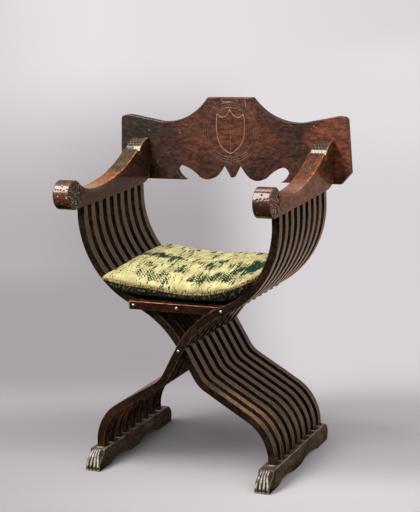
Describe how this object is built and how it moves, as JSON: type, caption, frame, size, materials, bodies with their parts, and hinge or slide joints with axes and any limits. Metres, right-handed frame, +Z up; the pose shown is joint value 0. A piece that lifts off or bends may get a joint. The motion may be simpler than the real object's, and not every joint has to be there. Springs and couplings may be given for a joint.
{
  "type": "folding armchair",
  "caption": "X-frame folding armchair with interleaved serpentine staves, scrolled arms, paw-footed runners, shaped back board and a loose cushion.",
  "frame": {"origin": "centre of the footprint on the floor", "axes": "+X to the viewer's right from the front, +Y to the back, +Z up"},
  "size_m": [0.672, 0.474, 0.93],
  "materials": {
    "walnut": "worn satin",
    "walnut_arm": "polished by hands",
    "steel": "worn",
    "velvet": "worn velvet with green patches"
  },
  "bodies": {
    "pivot": {"pivot_rod": "steel"},
    "left_side": {"stave_left_1": "walnut", "stave_left_2": "walnut", "stave_left_3": "walnut", "stave_left_4": "walnut", "stave_left_5": "walnut", "stave_left_6": "walnut", "stave_left_7": "walnut", "stave_left_8": "walnut", "stave_left_9": "walnut", "arm_left": "walnut_arm", "runner_right": "walnut", "left_seat_rod": "steel"},
    "right_side": {"stave_right_1": "walnut", "stave_right_2": "walnut", "stave_right_3": "walnut", "stave_right_4": "walnut", "stave_right_5": "walnut", "stave_right_6": "walnut", "stave_right_7": "walnut", "stave_right_8": "walnut", "stave_right_9": "walnut", "arm_right": "walnut_arm", "runner_left": "walnut", "right_seat_rod": "steel"},
    "left_seat": {"slat_left_1": "walnut", "slat_left_2": "walnut", "slat_left_3": "walnut", "slat_left_4": "walnut", "slat_left_5": "walnut", "slat_left_6": "walnut", "slat_left_7": "walnut", "slat_left_8": "walnut", "slat_left_9": "walnut", "centre_seat_rod": "steel"},
    "right_seat": {"slat_right_1": "walnut", "slat_right_2": "walnut", "slat_right_3": "walnut", "slat_right_4": "walnut", "slat_right_5": "walnut", "slat_right_6": "walnut", "slat_right_7": "walnut", "slat_right_8": "walnut", "slat_right_9": "walnut"},
    "board": {"back_board": "walnut", "board_key": "walnut"},
    "cushion_body": {"cushion": "velvet"}
  },
  "joints": [
    {"name": "fold_left", "type": "hinge", "parent": "pivot", "child": "left_side", "pos_m": [0, 0, 0.329], "axis": [0, 1, 0], "range_deg": [0, 26.25]},
    {"name": "fold_right", "type": "hinge", "parent": "pivot", "child": "right_side", "pos_m": [0, 0, 0.329], "axis": [0, -1, 0], "range_deg": [0, 26.25]},
    {"name": "seat_left", "type": "hinge", "parent": "left_side", "child": "left_seat", "pos_m": [-0.121, 0, 0.44], "axis": [0, -1, 0], "range_deg": [0, 78.76]},
    {"name": "seat_right", "type": "hinge", "parent": "right_side", "child": "right_seat", "pos_m": [0.121, 0, 0.44], "axis": [0, 1, 0], "range_deg": [0, 92.94]},
    {"name": "board_lift", "type": "slide", "parent": "left_side", "child": "board", "axis": [0, 0, 1], "range_m": [0, 0.12]},
    {"name": "cushion_lift", "type": "slide", "parent": "pivot", "child": "cushion_body", "axis": [0, 0, 1], "range_m": [0, 1.146]}
  ],
  "couplings": [
    {"joint": "fold_right", "follows": "fold_left", "ratio": 1},
    {"joint": "seat_left", "follows": "fold_left", "ratio": 3},
    {"joint": "seat_right", "follows": "fold_left", "ratio": 3.54},
    {"joint": "cushion_lift", "follows": "fold_left", "m_per_rad": 2.5}
  ]
}
